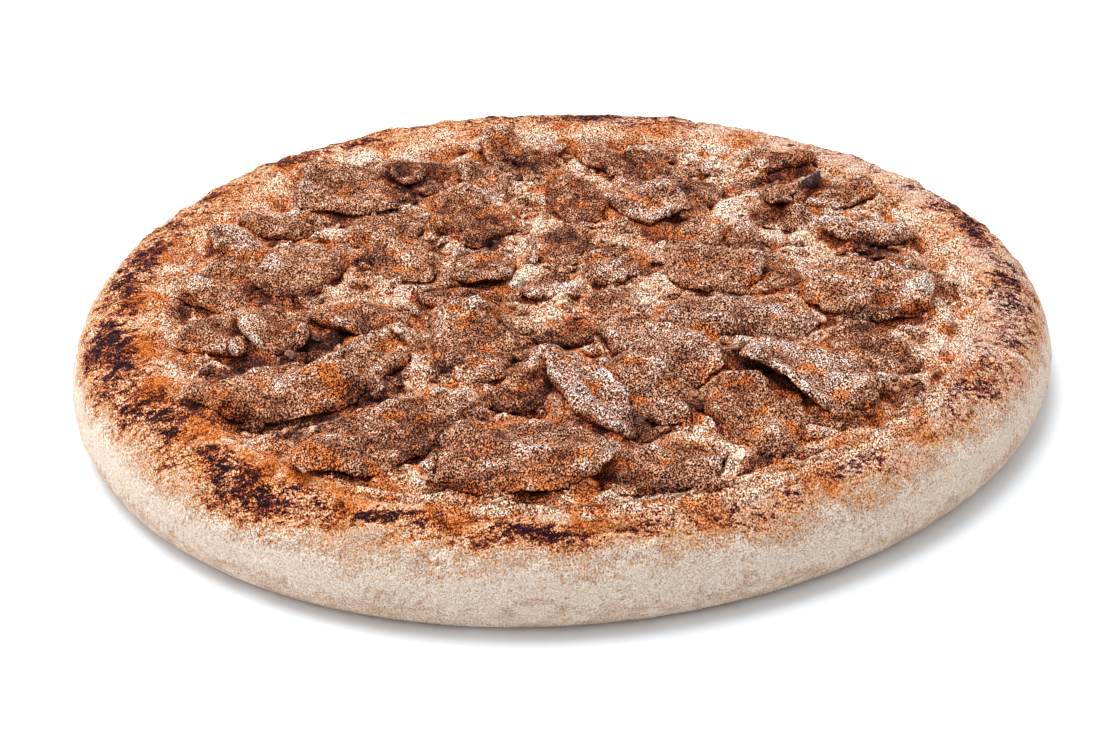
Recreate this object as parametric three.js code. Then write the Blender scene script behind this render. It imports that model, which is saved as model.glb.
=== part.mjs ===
// Kebab pizza with a thick baked rim: a round of bread dough, a bed of tomato sauce and cheese in its hollow,
// and slices of roast meat that lie on the bed and partly across each other.
// Millimetres, +Z up. The origin is the middle of the underside, and -Y is the side nearest the viewer.
import * as THREE from "three";

const { lerp, clamp, smoothstep, degToRad: radians } = THREE.MathUtils;

// ---- driving dimensions ----------------------------------------------------------------------------------

const CRUST_RADIUS = 130;
const CRUST_HEIGHT = 24.6; // underside to the crown of the rim
const WAIST_HEIGHT = 8.8; // where the side wall bulges furthest out
const BASE_RADIUS = 122.5; // edge of the flat underside
const CROWN_RADIUS = 113; // top of the rim
const SHELF_DROP = 0.2; // how much lower the rim lies halfway from the crown to the lip
const LIP_RADIUS = 105.5; // where the rim breaks off to the hollow
const LIP_HEIGHT = 23.9;
const HOLLOW_RADIUS = 101; // foot of the hollow's wall
const HOLLOW_FLOOR = 17.8; // height of the dough under the bed
const HOLLOW_SHIFT = { x: 3, y: -6 }; // the hollow lies a little forward, so the rim is widest at the back

// The dough is pressed out by hand: its edge strays from a circle by these shares of the radius.
const OUT_OF_ROUND = [
  { waves: 2, cosine: 0.008, sine: 0.008 },
  { waves: 3, cosine: 0.0115, sine: 0.0021 },
];

const RIM_LUMP = { size: 17, height: 0.55 }; // broad swellings of the rim
const RIM_CRAG = { size: 6.5, height: 0.25 }; // small ones between them

const GAP = 0.35; // between pieces that touch
const BED_EDGE_GAP = 0.8; // between the bed's edge and the hollow's uneven wall
const SINK_LEVEL = 19.9; // how far the slices sink into the bed
const BED_LEVEL = 21.6; // mean height of the bed between them
const BED_LUMP = { size: 8, height: 1.0 };
const BED_RISE = 0.8; // how much higher the bed lies along the hollow's wall

const SLICE_LUMP = { length: 10, width: 4.5, height: 0.75 }; // ridges along the grain of the meat
const SLICE_CRAG = { size: 3.6, height: 0.4 };
const SQUARENESS = 0.85; // 1 makes a slice's outline oval, less makes it blunt
const RAGGED = [{ lumps: 1.6, share: 0.17 }, { lumps: 3.4, share: 0.09 }]; // how its outline strays from that
const EDGE_SHARE = 0.42; // how far up its thickness a slice is widest

const LOWER_STEPS = 4; // facets of the crust's section below its waist, and above it
const UPPER_STEPS = 6;
const BED_RINGS = 20; // rings of facets in the bed's top
const AROUND = 6 * BED_RINGS; // facets round the crust and round the bed's edge
const SLICE_FACET = 5.8; // length of a facet along a slice's outline
const GRID = 0.5; // spacing of the points at which clearances are measured
const DRAPE_REACH = 1; // how far round a point a draped slice looks for what lies under it
const STIFFNESS = 4; // how many times a draped slice is evened out

// The slices, in the order in which they were dropped. x and y are a slice's middle, turn is the heading of
// its length in degrees from +X, taper narrows its far end, and bend bows it sideways.
const SLICES = [
  // round the back
  { name: "back_grey", x: -15, y: 93, long: 18, wide: 13, turn: 85, thick: 3.6 },
  { name: "back_leaf", x: 16, y: 85, long: 24, wide: 15, turn: -50, thick: 3.8 },
  { name: "back_right_hump", x: 68, y: 76, long: 22, wide: 11, turn: -12, thick: 3.2, bend: 2 },
  { name: "back_right_flat", x: 82, y: 53, long: 22, wide: 14, turn: -5, thick: 3.4 },
  { name: "back_right_frosted", x: 70, y: 39, long: 25, wide: 15, turn: -15, thick: 3.2 },
  { name: "back_right_upright", x: 64, y: 54, long: 20, wide: 12, turn: 82, thick: 3.6 },
  { name: "back_brown", x: -34, y: 77, long: 21, wide: 17, turn: -30, thick: 3.6 },
  { name: "back_narrow", x: -19, y: 68, long: 24, wide: 15, turn: -80, thick: 3.8 },
  { name: "back_middle", x: 28, y: 71, long: 26, wide: 16, turn: -80, thick: 3.8 },
  { name: "back_right_inner", x: 42, y: 58, long: 20, wide: 15, turn: 80, thick: 3.4 },
  { name: "back_left_far", x: -77, y: 44, long: 24, wide: 15, turn: 0, thick: 3.4 },
  { name: "back_left_near", x: -48, y: 41, long: 27, wide: 19, turn: 25, thick: 3.6 },
  // the right side
  { name: "right_far", x: 88, y: 30, long: 28, wide: 16, turn: -18, thick: 3.8 },
  { name: "right_ridge", x: 53, y: 27, long: 25, wide: 10, turn: 86, thick: 3.6 },
  { name: "right_back", x: 39, y: 31, long: 21, wide: 18, turn: 80, thick: 3.6 },
  { name: "right_edge", x: 100, y: -3, long: 23, wide: 12, turn: -72, thick: 3.6 },
  { name: "right_small", x: 90, y: 9, long: 18, wide: 13, turn: -40, thick: 3.2 },
  { name: "right_notch", x: 60, y: 8, long: 21, wide: 15, turn: -62, thick: 3.6 },
  { name: "front_right_behind", x: 81, y: -37, long: 31, wide: 18, turn: -58, thick: 3.8 },
  { name: "front_right_edge", x: 84, y: -62, long: 17, wide: 11, turn: 35, thick: 2.8 },
  { name: "front_right_small", x: 44, y: -45, long: 20, wide: 13, turn: -70, thick: 3.2 },
  // the left side
  { name: "left_dark", x: -88, y: 30, long: 21, wide: 12, turn: -42, thick: 3.8 },
  { name: "left_far", x: -88, y: -21, long: 25, wide: 21, turn: -25, thick: 3.6 },
  { name: "left_curl", x: -60, y: -29, long: 16, wide: 13, turn: 20, thick: 3.6 },
  { name: "left_near", x: -74, y: -22, long: 27, wide: 19, turn: -60, thick: 3.8 },
  // the middle
  { name: "middle_back", x: 2, y: 28, long: 27, wide: 15, turn: 75, thick: 3.6 },
  { name: "middle_hole_edge", x: 4, y: -24, long: 17, wide: 14, turn: 10, thick: 3.2 },
  { name: "middle_bit", x: -3, y: 4, long: 15, wide: 11, turn: 30, thick: 2.8 },
  { name: "middle_right", x: 16, y: -9, long: 20, wide: 15, turn: -65, thick: 3.4 },
  { name: "middle_orange", x: -25, y: -2, long: 25, wide: 14, turn: -8, thick: 3.6 },
  { name: "middle_block", x: -20, y: 14, long: 25, wide: 19, turn: 85, thick: 4 },
  // slices that lie on top
  { name: "back_pink", x: -2, y: 83, long: 24, wide: 14, turn: -65, thick: 3.6 },
  { name: "back_broad", x: -57, y: 64, long: 38, wide: 25, turn: -15, thick: 4.2 },
  { name: "back_curl", x: -42, y: 72, long: 16, wide: 12, turn: -70, thick: 3.2 },
  { name: "back_strip", x: 6, y: 57, long: 32, wide: 17, turn: -70, thick: 3.8 },
  { name: "back_slab", x: -24, y: 46, long: 34, wide: 22, turn: -62, thick: 4.2 },
  { name: "back_round", x: 28, y: 49, long: 27, wide: 21, turn: -45, thick: 4 },
  { name: "middle_square", x: 16, y: 15, long: 22, wide: 18, turn: 80, thick: 4 },
  { name: "right_pale", x: 43, y: 8, long: 29, wide: 22, turn: -30, thick: 4.2 },
  { name: "right_broad", x: 82, y: -8, long: 39, wide: 25, turn: -25, thick: 5 },
  { name: "right_wing", x: 49, y: -18, long: 42, wide: 22, turn: -10, thick: 4.2 },
  { name: "middle_long", x: 27, y: -35, long: 39, wide: 19, turn: -55, thick: 4 },
  { name: "left_tan_back", x: -87, y: 9, long: 32, wide: 22, turn: 60, thick: 4.2 },
  { name: "left_tan_front", x: -69, y: 13, long: 36, wide: 19, turn: 62, thick: 4.2 },
  { name: "left_grey", x: -42, y: 20, long: 31, wide: 18, turn: -65, thick: 4.4 },
  { name: "left_inner", x: -53, y: -15, long: 29, wide: 21, turn: -30, thick: 4 },
  { name: "front_left_strip", x: -49, y: -38, long: 35, wide: 17, turn: 50, thick: 4 },
  { name: "middle_broad", x: -21, y: -30, long: 41, wide: 23, turn: -82, thick: 4.8 },
  { name: "front_left_broad", x: -72, y: -54, long: 46, wide: 26, turn: 12, thick: 4.8 },
  { name: "front_left_low", x: -43, y: -75, long: 51, wide: 28, turn: 46, thick: 4.4 },
  { name: "front_right_low", x: 23, y: -93, long: 35, wide: 21, turn: 20, thick: 4 },
  { name: "front_broad", x: -9, y: -87, long: 43, wide: 31, turn: -8, thick: 5 },
  { name: "front_lobe", x: -7, y: -54, long: 25, wide: 16, turn: 40, thick: 3.8 },
  { name: "front_mate", x: 22, y: -56, long: 36, wide: 17, turn: -66, thick: 4.2 },
  { name: "front_tongue", x: 9, y: -62, long: 47, wide: 15, turn: -68, thick: 4.2, taper: 0.15 },
  { name: "front_right_tapered", x: 49, y: -69, long: 35, wide: 26, turn: -78, thick: 4.4, taper: 0.3 },
  { name: "front_right_broad", x: 65, y: -52, long: 46, wide: 26, turn: -52, thick: 4.8 },
];

// A burnt flake of meat that stands up at the back.
const CHARRED_FLAKE = { name: "charred_flake", x: 75, y: 60, long: 9.5, wide: 6, turn: 65, thick: 4.6 };

const COLOURS = {
  crust: 0xd9b795,
  bed: 0xdb9a55,
  meat: [0x9c7556, 0xa98466, 0x8f6448],
  charred: 0x2e211c,
};

// ---- helpers ---------------------------------------------------------------------------------------------

// A number from -1 to 1 that depends only on i, j and the seed.
function scatter(i, j, seed) {
  const mixed = Math.sin(i * 127.1 + j * 311.7 + seed * 74.7) * 43758.5453;
  return 2 * (mixed - Math.floor(mixed)) - 1;
}

// Smooth lumps from -1 to 1, one to each unit of x and y.
function lumps(x, y, seed) {
  const i = Math.floor(x);
  const j = Math.floor(y);
  const across = smoothstep(x - i, 0, 1);
  const along = smoothstep(y - j, 0, 1);
  const near = lerp(scatter(i, j, seed), scatter(i + 1, j, seed), across);
  const far = lerp(scatter(i, j + 1, seed), scatter(i + 1, j + 1, seed), across);
  return lerp(near, far, along);
}

function range(count) {
  return Array.from({ length: count }, (_, i) => i);
}

// A closed surface that is put together from rings of points, each ring counter-clockwise from above.
class Skin {
  constructor() {
    this.points = [];
    this.faces = [];
  }

  point(x, y, z) {
    this.points.push(new THREE.Vector3(x, y, z));
    return this.points.length - 1;
  }

  ring(count, place) {
    return range(count).map((i) => this.point(...place(i)));
  }

  // Facets between two rings of as many points: the first lies further out or lower down.
  band(first, second) {
    first.forEach((a, i) => {
      const next = (i + 1) % first.length;
      this.faces.push([a, first[next], second[next]], [a, second[next], second[i]]);
    });
  }

  // A fan from a ring to a middle point, facing up or down.
  cap(ring, middle, facesUp) {
    ring.forEach((a, i) => {
      const b = ring[(i + 1) % ring.length];
      this.faces.push(facesUp ? [a, b, middle] : [b, a, middle]);
    });
  }

  mesh(name, colour) {
    const geometry = new THREE.BufferGeometry().setFromPoints(this.points);
    geometry.setIndex(this.faces.flat());
    geometry.computeVertexNormals();
    const material = new THREE.MeshStandardMaterial({ color: colour, roughness: 0.85 });
    material.name = name;
    const mesh = new THREE.Mesh(geometry, material);
    mesh.name = name;
    return mesh;
  }
}

// Heights on a square grid over the pizza, in which upper or lower surfaces are gathered.
class HeightMap {
  constructor(height) {
    this.half = CRUST_RADIUS + 10;
    this.side = Math.round((2 * this.half) / GRID);
    this.heights = new Float64Array(this.side * this.side).fill(height);
  }

  // Calls visit(cell, height) for every grid point that a facet covers when seen from above.
  cover([a, b, c], visit) {
    const toGrid = (v) => (v + this.half) / GRID;
    const area = (b.x - a.x) * (c.y - a.y) - (c.x - a.x) * (b.y - a.y);
    if (area === 0) return;
    const xs = [a.x, b.x, c.x].map(toGrid);
    const ys = [a.y, b.y, c.y].map(toGrid);
    for (let j = Math.ceil(Math.min(...ys)); j <= Math.max(...ys); j++) {
      for (let i = Math.ceil(Math.min(...xs)); i <= Math.max(...xs); i++) {
        const x = i * GRID - this.half;
        const y = j * GRID - this.half;
        const shareB = ((x - a.x) * (c.y - a.y) - (c.x - a.x) * (y - a.y)) / area;
        const shareC = ((b.x - a.x) * (y - a.y) - (x - a.x) * (b.y - a.y)) / area;
        if (shareB < 0 || shareC < 0 || shareB + shareC > 1) continue;
        visit(j * this.side + i, a.z + shareB * (b.z - a.z) + shareC * (c.z - a.z));
      }
    }
  }

  // The most extreme height at a grid point and the eight around it.
  around(cell, extreme) {
    let found = this.heights[cell];
    for (const row of [-this.side, 0, this.side]) {
      for (const column of [-1, 0, 1]) {
        found = extreme(found, this.heights[cell + row + column]);
      }
    }
    return found;
  }

  // The greatest height within reach of a place.
  highest(x, y, reach) {
    const steps = Math.round(reach / GRID);
    const middle = Math.round((y + this.half) / GRID) * this.side + Math.round((x + this.half) / GRID);
    let found = -Infinity;
    for (let j = -steps; j <= steps; j++) {
      for (let i = -steps; i <= steps; i++) {
        found = Math.max(found, this.heights[middle + j * this.side + i]);
      }
    }
    return found;
  }
}

function facets(skin) {
  return skin.faces.map((face) => face.map((k) => skin.points[k]));
}

function facesUp([a, b, c]) {
  return (b.x - a.x) * (c.y - a.y) - (c.x - a.x) * (b.y - a.y) > 0;
}

// ---- crust -----------------------------------------------------------------------------------------------

function outline(angle) {
  return OUT_OF_ROUND.reduce((sum, { waves, cosine, sine }) => (
    sum + cosine * Math.cos(waves * angle) + sine * Math.sin(waves * angle)
  ), 1);
}

function rimRelief(x, y) {
  const broad = RIM_LUMP.height * lumps(x / RIM_LUMP.size, y / RIM_LUMP.size, 1);
  const fine = RIM_CRAG.height * lumps(x / RIM_CRAG.size, y / RIM_CRAG.size, 2);
  return broad + fine;
}

// The crust's section from the edge of the underside over the rim to the foot of the hollow's wall. hollow
// says how far a point belongs to the hollow, and relief how much of the rim's lumps it takes.
function crustSection() {
  const lower = range(LOWER_STEPS).map((i) => {
    const swing = (i / LOWER_STEPS) * (Math.PI / 2);
    return {
      radius: lerp(BASE_RADIUS, CRUST_RADIUS, Math.sin(swing)),
      height: lerp(WAIST_HEIGHT, 0, Math.cos(swing)),
      hollow: 0,
      relief: i / LOWER_STEPS,
    };
  });
  const upper = range(UPPER_STEPS + 1).map((i) => {
    const swing = (i / UPPER_STEPS) * (Math.PI / 2);
    return {
      radius: lerp(CROWN_RADIUS, CRUST_RADIUS, Math.cos(swing)),
      height: lerp(WAIST_HEIGHT, CRUST_HEIGHT, Math.sin(swing)),
      hollow: 0,
      relief: 1,
    };
  });
  const shelf = {
    radius: (CROWN_RADIUS + LIP_RADIUS) / 2,
    height: CRUST_HEIGHT - SHELF_DROP,
    hollow: 0.5,
    relief: 0.8,
  };
  const lip = { radius: LIP_RADIUS, height: LIP_HEIGHT, hollow: 1, relief: 0.5 };
  const foot = { radius: HOLLOW_RADIUS, height: HOLLOW_FLOOR, hollow: 1, relief: 0 };
  return [...lower, ...upper, shelf, lip, foot];
}

function crustSkin() {
  const skin = new Skin();
  const rings = crustSection().map(({ radius, height, hollow, relief }) => skin.ring(AROUND, (i) => {
    const angle = (i / AROUND) * 2 * Math.PI;
    const reach = radius * lerp(outline(angle), 1, hollow);
    const x = reach * Math.cos(angle) + hollow * HOLLOW_SHIFT.x;
    const y = reach * Math.sin(angle) + hollow * HOLLOW_SHIFT.y;
    const swell = relief * rimRelief(x + height, y - height); // the height keeps the wall from being striped
    const upness = clamp((height - WAIST_HEIGHT) / (CRUST_HEIGHT - WAIST_HEIGHT), 0, 1);
    const outward = (swell * (1 - upness)) / reach;
    return [x * (1 + outward), y * (1 + outward), height + swell * upness];
  }));
  rings.slice(1).forEach((ring, i) => skin.band(rings[i], ring));
  skin.cap(rings[0], skin.point(0, 0, 0), false);
  skin.cap(rings.at(-1), skin.point(HOLLOW_SHIFT.x, HOLLOW_SHIFT.y, HOLLOW_FLOOR), true);
  return skin;
}

// ---- slices of meat --------------------------------------------------------------------------------------

// A point of a slice at a share of the way from its middle to its outline, in its own length and width.
function slicePoint({ long, wide, taper = 0, bend = 0 }, seed, swing, share) {
  const ragged = RAGGED.reduce((sum, part) => (
    sum + part.share * lumps(part.lumps * Math.cos(swing), part.lumps * Math.sin(swing), seed)
  ), 1);
  const squared = (v) => Math.sign(v) * Math.abs(v) ** SQUARENESS;
  const along = squared(Math.cos(swing)) * ragged;
  const across = squared(Math.sin(swing)) * ragged * (1 - taper * along);
  const u = share * along * (long / 2);
  const v = share * across * (wide / 2) + bend * ((share * along) ** 2 - 0.5);
  return { u, v };
}

function sliceRelief(u, v, seed) {
  const grain = SLICE_LUMP.height * lumps(u / SLICE_LUMP.length, v / SLICE_LUMP.width, seed);
  const crag = SLICE_CRAG.height * lumps(u / SLICE_CRAG.size, v / SLICE_CRAG.size, seed);
  return grain + crag;
}

// The levels of a slice from its underside to its top: how far out and how high each ring of points lies, and
// how much of the relief it takes. Points at the middle, in the inner rings and further out drape separately.
const SLICE_LEVELS = [
  { share: 0.45, height: 0, relief: 0, zone: "inner" },
  { share: 0.86, height: 0, relief: 0.2, zone: "outer" },
  { share: 1, height: EDGE_SHARE, relief: 0.4, zone: "outer" },
  { share: 0.82, height: 0.9, relief: 0.8, zone: "outer" },
  { share: 0.45, height: 1, relief: 1, zone: "inner" },
];

// Lays a slice on the ground, which is the highest surface so far.
function sliceSkin(slice, seed, ground) {
  const { x, y, long, wide, turn, thick } = slice;
  const around = Math.max(12, Math.round((Math.PI * (long + wide)) / 2 / SLICE_FACET));
  const heading = radians(turn);
  const skin = new Skin();
  const columns = []; // the column of points that each point rises with
  const low = []; // the points of the underside and the edge

  const place = (column, swing, { share, height, relief }) => {
    const { u, v } = slicePoint(slice, seed, swing, share);
    const k = skin.point(
      x + u * Math.cos(heading) - v * Math.sin(heading),
      y + u * Math.sin(heading) + v * Math.cos(heading),
      height * thick + relief * sliceRelief(u, v, seed),
    );
    columns[k] = column;
    if (height <= EDGE_SHARE) low.push(k);
    return k;
  };
  const rings = SLICE_LEVELS.map((level) => range(around).map((i) => (
    place(`${level.zone}${i}`, (i / around) * 2 * Math.PI, level)
  )));
  const bottom = place("middle", 0, { share: 0, height: 0, relief: 0 });
  const top = place("middle", 0, { share: 0, height: 1, relief: 1 });
  rings.slice(1).forEach((ring, i) => skin.band(rings[i], ring));
  skin.cap(rings[0], bottom, false);
  skin.cap(rings.at(-1), top, true);

  drape(skin, columns, low, around, ground);
  return skin;
}

// Raises the columns of a slice until its underside clears the ground and its form is even.
function drape(skin, columns, low, around, ground) {
  const rise = new Map(columns.map((column) => [column, SINK_LEVEL + GAP]));
  low.forEach((k) => {
    const { x, y, z } = skin.points[k];
    const needed = ground.highest(x, y, DRAPE_REACH) + GAP - z;
    rise.set(columns[k], Math.max(rise.get(columns[k]), needed));
  });
  for (let pass = 0; pass < STIFFNESS; pass++) evenOut(rise, around);
  raiseColumns(skin, columns, rise);

  const lift = new Map(columns.map((column) => [column, 0]));
  skin.faces.forEach((face) => {
    const facet = face.map((k) => skin.points[k]);
    if (facesUp(facet)) return;
    ground.cover(facet, (cell, height) => {
      const needed = ground.around(cell, Math.max) + GAP - height;
      face.forEach((k) => lift.set(columns[k], Math.max(lift.get(columns[k]), needed)));
    });
  });
  raiseColumns(skin, columns, lift);
}

function raiseColumns(skin, columns, rise) {
  skin.points.forEach((point, k) => {
    point.z += rise.get(columns[k]);
  });
}

// Brings each column up to the mean of its neighbours.
function evenOut(rise, around) {
  const before = new Map(rise);
  const raise = (column, ...neighbours) => {
    const mean = neighbours.reduce((sum, other) => sum + before.get(other), 0) / neighbours.length;
    rise.set(column, Math.max(before.get(column), mean));
  };
  for (let i = 0; i < around; i++) {
    const left = (i + 1) % around;
    const right = (i + around - 1) % around;
    raise(`outer${i}`, `outer${left}`, `outer${right}`, `inner${i}`);
    raise(`inner${i}`, `inner${left}`, `inner${right}`, `outer${i}`, "middle");
  }
  raise("middle", ...range(around).map((i) => `inner${i}`));
}

function gatherTop(skin, ground) {
  facets(skin).filter(facesUp).forEach((facet) => ground.cover(facet, (cell, height) => {
    ground.heights[cell] = Math.max(ground.heights[cell], height);
  }));
}

function gatherUnderside(skin, roof) {
  facets(skin).filter((facet) => !facesUp(facet)).forEach((facet) => roof.cover(facet, (cell, height) => {
    roof.heights[cell] = Math.min(roof.heights[cell], height);
  }));
}

// ---- bed of sauce and cheese -----------------------------------------------------------------------------

function bedHeight(x, y, share) {
  const lump = BED_LUMP.height * lumps(x / BED_LUMP.size, y / BED_LUMP.size, 3);
  return BED_LEVEL + lump + BED_RISE * smoothstep(share, 0.85, 1);
}

// Radius of the bed's edge at a height, a gap inside the hollow's wall.
function bedRadius(height) {
  const share = (height - HOLLOW_FLOOR) / (LIP_HEIGHT - HOLLOW_FLOOR);
  return lerp(HOLLOW_RADIUS, LIP_RADIUS, share) - BED_EDGE_GAP;
}

function bedEdgePlace(i, height) {
  const angle = (i / AROUND) * 2 * Math.PI;
  const radius = bedRadius(height);
  return [HOLLOW_SHIFT.x + radius * Math.cos(angle), HOLLOW_SHIFT.y + radius * Math.sin(angle), height];
}

function bedSkin(roof) {
  const skin = new Skin();
  const underside = HOLLOW_FLOOR + GAP;
  const topRadius = bedRadius(BED_LEVEL + BED_RISE);
  const tops = range(BED_RINGS).map((i) => i + 1).map((ring) => skin.ring(6 * ring, (i) => {
    const angle = (i / (6 * ring)) * 2 * Math.PI;
    const share = ring / BED_RINGS;
    const x = HOLLOW_SHIFT.x + share * topRadius * Math.cos(angle);
    const y = HOLLOW_SHIFT.y + share * topRadius * Math.sin(angle);
    return [x, y, ring === BED_RINGS ? BED_LEVEL + BED_RISE : bedHeight(x, y, share)];
  }));
  const middle = skin.point(HOLLOW_SHIFT.x, HOLLOW_SHIFT.y, BED_LEVEL);
  skin.cap(tops[0], middle, true);
  tops.slice(1).forEach((outer, i) => growingBand(skin, outer, tops[i], i + 1));
  press(skin, roof);

  const edge = tops.at(-1);
  edge.forEach((k, i) => skin.points[k].set(...bedEdgePlace(i, skin.points[k].z)));
  const foot = skin.ring(AROUND, (i) => bedEdgePlace(i, underside));
  skin.band(foot, edge);
  skin.cap(foot, skin.point(HOLLOW_SHIFT.x, HOLLOW_SHIFT.y, underside), false);
  return skin;
}

// Facets between a ring of 6 * (steps + 1) points and the ring of 6 * steps points inside it.
function growingBand(skin, outer, inner, steps) {
  for (let sector = 0; sector < 6; sector++) {
    for (let i = 0; i <= steps; i++) {
      const a = outer[sector * (steps + 1) + i];
      const b = outer[(sector * (steps + 1) + i + 1) % outer.length];
      const c = inner[(sector * steps + i) % inner.length];
      skin.faces.push([a, b, c]);
      if (i < steps) skin.faces.push([b, inner[(sector * steps + i + 1) % inner.length], c]);
    }
  }
}

// Presses the bed down under the slices. Its height above the level to which they sink shrinks in proportion.
function press(skin, roof) {
  const keep = skin.points.map(() => 1);
  skin.faces.forEach((face) => {
    roof.cover(face.map((k) => skin.points[k]), (cell, height) => {
      const room = roof.around(cell, Math.min) - GAP - SINK_LEVEL;
      const share = clamp(room / (height - SINK_LEVEL), 0, 1);
      face.forEach((k) => {
        keep[k] = Math.min(keep[k], share);
      });
    });
  });
  skin.points.forEach((point, k) => {
    point.z = lerp(SINK_LEVEL, point.z, keep[k]);
  });
}

// ---- the whole -------------------------------------------------------------------------------------------

// Moves everything together so that the origin is the middle of the underside.
function centre(group) {
  const box = new THREE.Box3().setFromObject(group);
  const middle = box.getCenter(new THREE.Vector3());
  group.children.forEach((mesh) => mesh.geometry.translate(-middle.x, -middle.y, -box.min.z));
  return group;
}

function kebabPizza() {
  const group = new THREE.Group();
  group.name = "kebab_pizza";

  const crust = crustSkin();
  const ground = new HeightMap(SINK_LEVEL);
  const roof = new HeightMap(Infinity);
  gatherTop(crust, ground);
  group.add(crust.mesh("crust", COLOURS.crust));

  const slices = [...SLICES, CHARRED_FLAKE].map((slice, i) => {
    const skin = sliceSkin(slice, i + 1, ground);
    gatherTop(skin, ground);
    gatherUnderside(skin, roof);
    const colour = slice === CHARRED_FLAKE ? COLOURS.charred : COLOURS.meat[i % COLOURS.meat.length];
    return skin.mesh(slice.name, colour);
  });
  group.add(bedSkin(roof).mesh("cheese_sauce_bed", COLOURS.bed));
  group.add(...slices);
  return centre(group);
}

export default kebabPizza();
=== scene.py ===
"""Kebab pizza, dressed for a studio photograph.

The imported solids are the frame. The crust, the bed of cheese and sauce, and every slice of meat are built
again here with the relief and the finish that food shows close up, each in the place of its own solid.
"""
import math

import bmesh
import bpy
import numpy as np
from mathutils import Matrix, Vector
from mathutils.bvhtree import BVHTree


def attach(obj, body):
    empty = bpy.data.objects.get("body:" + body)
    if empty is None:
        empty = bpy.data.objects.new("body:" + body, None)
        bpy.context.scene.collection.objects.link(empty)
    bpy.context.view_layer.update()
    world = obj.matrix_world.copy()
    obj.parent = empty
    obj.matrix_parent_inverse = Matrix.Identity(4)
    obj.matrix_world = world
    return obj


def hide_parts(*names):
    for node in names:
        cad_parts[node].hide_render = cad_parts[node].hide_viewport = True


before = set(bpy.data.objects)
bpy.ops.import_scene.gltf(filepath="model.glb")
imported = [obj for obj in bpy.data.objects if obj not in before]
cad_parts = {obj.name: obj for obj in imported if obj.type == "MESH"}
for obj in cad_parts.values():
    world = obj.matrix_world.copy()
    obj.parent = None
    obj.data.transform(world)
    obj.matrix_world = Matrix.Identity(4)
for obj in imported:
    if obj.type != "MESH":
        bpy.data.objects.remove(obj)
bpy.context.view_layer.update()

bl_info = {
    "name": "Kebab pizza",
    "version": (1, 0, 0),
    "blender": (4, 5, 0),
    "location": "3D view > Sidebar > Pizza",
    "description": "Builds a baked kebab pizza with a thick rim, and a studio to photograph it in",
    "category": "Add Mesh",
}

MM = 0.001
RELIEF_LAYERS = ("Broad", "Crag", "Fine", "Ragged")

# The dough is pressed out by hand: waves round the edge, with their cosine and sine shares of the radius.
OUT_OF_ROUND = ((2, 0.008, 0.008), (3, 0.0115, 0.0021))
HOLLOW_SHIFT = np.array((3.0, -6.0)) * MM  # the hollow lies a little forward of the middle

# In front, a low ridge runs along the lip of the rim, with a trough behind it.
RIDGE_RADIUS, RIDGE_HEIGHT = 110 * MM, 1.1 * MM
TROUGH_RADIUS, TROUGH_DEPTH = 106 * MM, 1.3 * MM

# The colours of meat and of melted cheese from pale to dark, with the depth where each is pure.
# The darkest colour is painted shade at the bottom of the gaps.
MEAT_SHADES = {"frost": 0.0, "meat": 0.3, "browned": 0.55, "seared": 0.8, "gap": 1.0}
CHEESE_SHADES = {"flour": 0.0, "cheese": 0.4, "baked_cheese": 0.65, "sauce": 0.83, "gap": 1.0}

UNDERCUT = 0.09  # how far a slice's flanks are drawn in, as a share of the way to its middle

# The cheese that is heaped round the slices: how steeply it falls in each direction, and over how many cells.
NEIGHBOURS = ((1, 0), (-1, 0), (0, 1), (0, -1))
HEAP_FALLS = {
    (0, 1): 0.35, (1, 1): 0.5, (-1, 1): 0.5, (1, 0): 0.6, (-1, 0): 0.6, (1, -1): 0.8, (-1, -1): 0.8,
    (0, -1): 0.9,
}
HEAP_REACH = 14
HEAP_TOP = 27 * MM  # no cheese is heaped higher

HIGH_ABOVE, HALF_MAP = 50 * MM, 140 * MM  # higher and wider than the pizza

# Where the oven scorched the rim: middle of each stretch in degrees from +X, its half width in degrees, how
# far in from the bulge it is darkest and how wide it reaches there in mm, and its strength.
SCORCHED = (
    (172, 20, 14, 10, 0.9), (193, 17, 12, 9, 1.0), (212, 14, 13, 9, 1.0), (232, 13, 12, 7, 1.0),
    (250, 13, 11, 5, 0.9), (266, 8, 10, 4, 1.0), (284, 8, 10, 4, 0.8), (305, 12, 12, 6, 0.8),
    (332, 15, 12, 9, 0.7), (355, 18, 11, 9, 0.85), (18, 20, 11, 9, 0.8), (50, 25, 13, 11, 0.5),
    (85, 30, 13, 14, 0.8), (125, 25, 13, 13, 0.75), (150, 15, 13, 11, 0.7),
)

# Colour zones of the topping, which run on from piece to piece: x, y, half width in mm and maybe a strength.
# Pale cheese shows between the slices.
CHEESE = (
    (44, 85, 6), (93, 42, 5), (52, 53, 7), (59, 33, 6), (103, -22, 5), (88, 30, 5), (48, 46, 7), (30, 46, 5),
    (-11, 11, 6), (76, 38, 6), (97, -12, 6), (4, 82, 4), (98, -32, 6), (-1, 2, 6), (-55, -2, 5), (22, -4, 5),
    (72, -60, 5), (8, 71, 4), (10, -94, 4), (-58, 87, 7), (-84, -71, 4), (-27, -45, 4), (-32, -87, 4),
    (-25, -53, 4), (58, 74, 4), (12, -103, 5), (-30, 32, 4), (-98, 4, 4), (34, -72, 4), (-43, -29, 5),
    (-38, -37, 4),
)

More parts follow.
